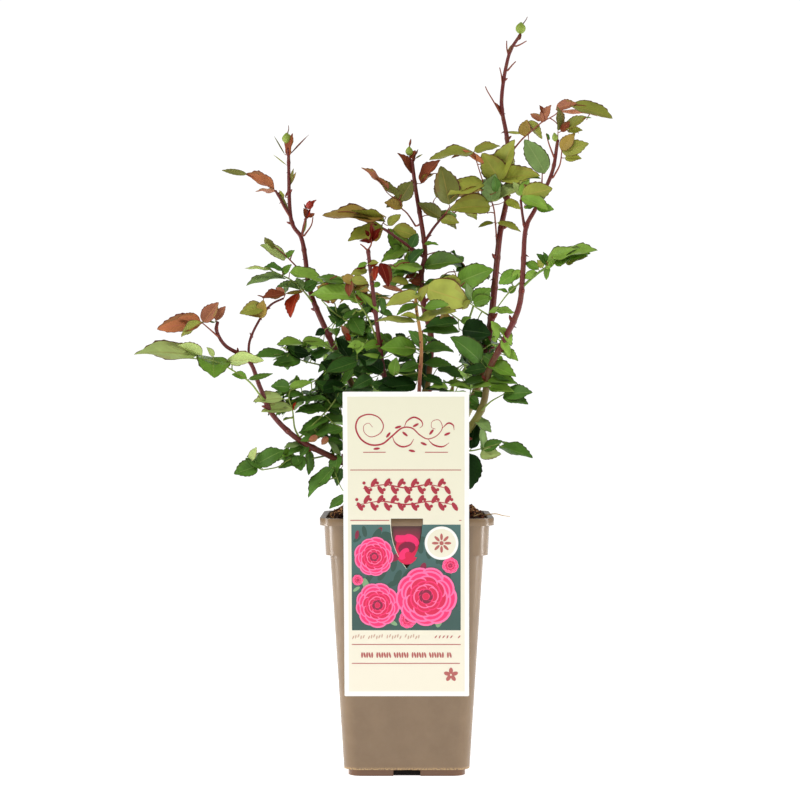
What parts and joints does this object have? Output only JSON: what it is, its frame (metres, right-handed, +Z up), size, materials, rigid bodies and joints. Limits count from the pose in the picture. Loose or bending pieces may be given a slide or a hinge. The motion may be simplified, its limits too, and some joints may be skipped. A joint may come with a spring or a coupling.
{
  "type": "potted rose bush",
  "caption": "Young rose bush with upright thorny canes and open leafy crown, in a tall square nursery pot with a hanging care label.",
  "frame": {"origin": "centre of the pot's flat underside, on the plane that it stands on", "axes": "+Z up along the canes; -Y is the side of the pot that the label hangs on; +X to the right of the label"},
  "size_m": [0.502, 0.3113, 0.816],
  "materials": {
    "pot_plastic": "moulded taupe polypropylene, satin",
    "bark_compost": "loose dark bark and fibre",
    "label_card": "printed card with a thin gloss film",
    "green_bark": "rough grey-green bark",
    "red_bark": "smooth waxy red young bark with thorns",
    "leaves": "satin leaves, dark green low down and lime to bronze at the tips"
  },
  "bodies": {
    "root": {"cane_arched_right": "red_bark", "cane_back_left": "red_bark", "cane_back_right": "red_bark", "cane_centre": "red_bark", "cane_front_thin": "red_bark", "cane_low_left": "red_bark", "cane_red_left": "red_bark", "cane_tall_left": "red_bark", "cane_tall_right": "red_bark", "foliage_back_left": "leaves", "foliage_back_low": "leaves", "foliage_back_right": "leaves", "foliage_centre_bronze": "leaves", "foliage_centre_curl": "leaves", "foliage_centre_left_band": "leaves", "foliage_centre_left_dark": "leaves", "foliage_centre_mid": "leaves", "foliage_centre_red": "leaves", "foliage_centre_right_mid": "leaves", "foliage_centre_right_olive": "leaves", "foliage_centre_right_top": "leaves", "foliage_centre_tip": "leaves", "foliage_core_front": "leaves", "foliage_core_left": "leaves", "foliage_core_right": "leaves", "foliage_front_tip": "leaves", "foliage_left_band": "leaves", "foliage_left_bow": "leaves", "foliage_left_curl": "leaves", "foliage_left_far": "leaves", "foliage_left_hang": "leaves", "foliage_left_inner_lower": "leaves", "foliage_left_inner_upper": "leaves", "foliage_left_low": "leaves", "foliage_left_red": "leaves", "foliage_left_tip": "leaves", "foliage_left_tuft": "leaves", "foliage_left_upper": "leaves", "foliage_right_band": "leaves", "foliage_right_cluster_left": "leaves", "foliage_right_cluster_mid": "leaves", "foliage_right_compound": "leaves", "foliage_right_hang": "leaves", "foliage_right_inner": "leaves", "foliage_right_low": "leaves", "foliage_right_low_upper": "leaves", "foliage_right_spray": "leaves", "foliage_right_tip": "leaves", "foliage_right_top": "leaves", "graft_union": "green_bark", "label": "label_card", "pot": "pot_plastic", "shoot_centre_left": "red_bark", "shoot_centre_right": "red_bark", "shoot_left_bowed": "red_bark", "shoot_left_inner": "red_bark", "shoot_left_outer": "red_bark", "shoot_right_inner": "red_bark", "shoot_right_side": "red_bark", "soil": "bark_compost"}
  },
  "joints": []
}
